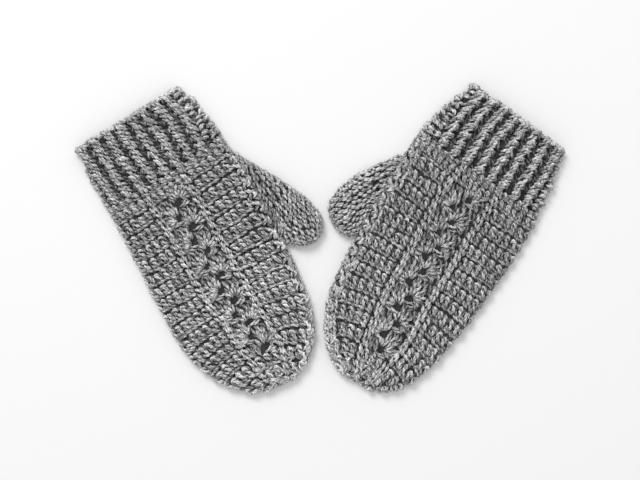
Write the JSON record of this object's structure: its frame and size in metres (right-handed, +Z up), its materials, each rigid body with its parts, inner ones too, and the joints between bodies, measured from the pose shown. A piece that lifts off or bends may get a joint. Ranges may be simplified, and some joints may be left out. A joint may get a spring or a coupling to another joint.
{
  "type": "pair of mittens",
  "caption": "Pair of grey crocheted mittens laid flat side by side, backs up, with ribbed cuffs, rounded tips and a shell-stitch panel between raised post columns.",
  "frame": {"origin": "on the surface that the mittens lie on, under the middle of the pair", "axes": "+X across the pair to the right, +Y from the finger tips towards the cuffs, +Z up from the surface"},
  "size_m": [0.3314, 0.2087, 0.0108],
  "materials": {
    "wool": "matt plied wool yarn, crocheted"
  },
  "bodies": {
    "root": {"left_cuff_back": "wool", "left_cuff_palm": "wool", "left_hand_back": "wool", "left_hand_palm": "wool", "left_thumb_back": "wool", "left_thumb_palm": "wool", "right_cuff_back": "wool", "right_cuff_palm": "wool", "right_hand_back": "wool", "right_hand_palm": "wool", "right_thumb_back": "wool", "right_thumb_palm": "wool"}
  },
  "joints": []
}
